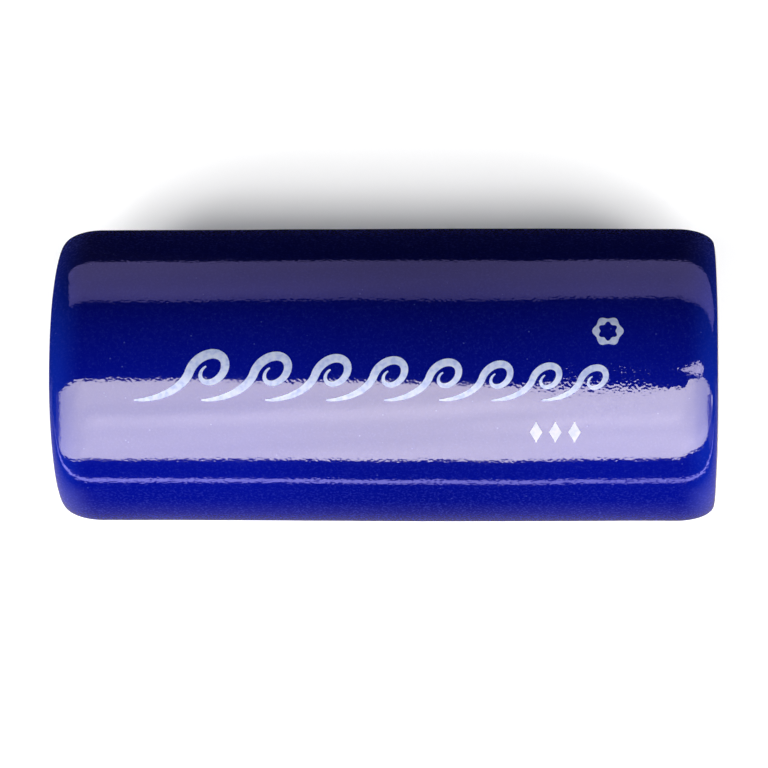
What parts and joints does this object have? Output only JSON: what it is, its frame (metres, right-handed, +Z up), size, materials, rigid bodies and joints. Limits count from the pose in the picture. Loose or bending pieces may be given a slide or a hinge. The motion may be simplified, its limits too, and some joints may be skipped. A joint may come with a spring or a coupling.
{
  "type": "guitar slide",
  "caption": "Open glazed ceramic tube worn on a finger, with rounded ends, a plain bore, a bare foot ring and a fired-on ornament.",
  "frame": {"origin": "on the surface that the slide lies on, under the middle of its length and of its width", "axes": "+X along the bore, from the lip towards the foot ring; +Z up; the ornament faces up and slightly towards -Y"},
  "size_m": [0.0666, 0.03, 0.0301],
  "materials": {
    "bisque_clay": "bare fired clay, fine and porous",
    "cobalt_glaze": "glossy deep cobalt blue glaze",
    "white_enamel": "pale blue-white enamel, satin"
  },
  "bodies": {
    "root": {"ceramic_body": "bisque_clay", "glaze_coat": "cobalt_glaze", "print_wave_1": "white_enamel", "print_wave_2": "white_enamel", "print_wave_3": "white_enamel", "print_wave_4": "white_enamel", "print_wave_5": "white_enamel", "print_wave_6": "white_enamel", "print_wave_7": "white_enamel", "print_wave_8": "white_enamel", "print_rosette": "white_enamel", "print_lozenge_1": "white_enamel", "print_lozenge_2": "white_enamel", "print_lozenge_3": "white_enamel"}
  },
  "joints": []
}
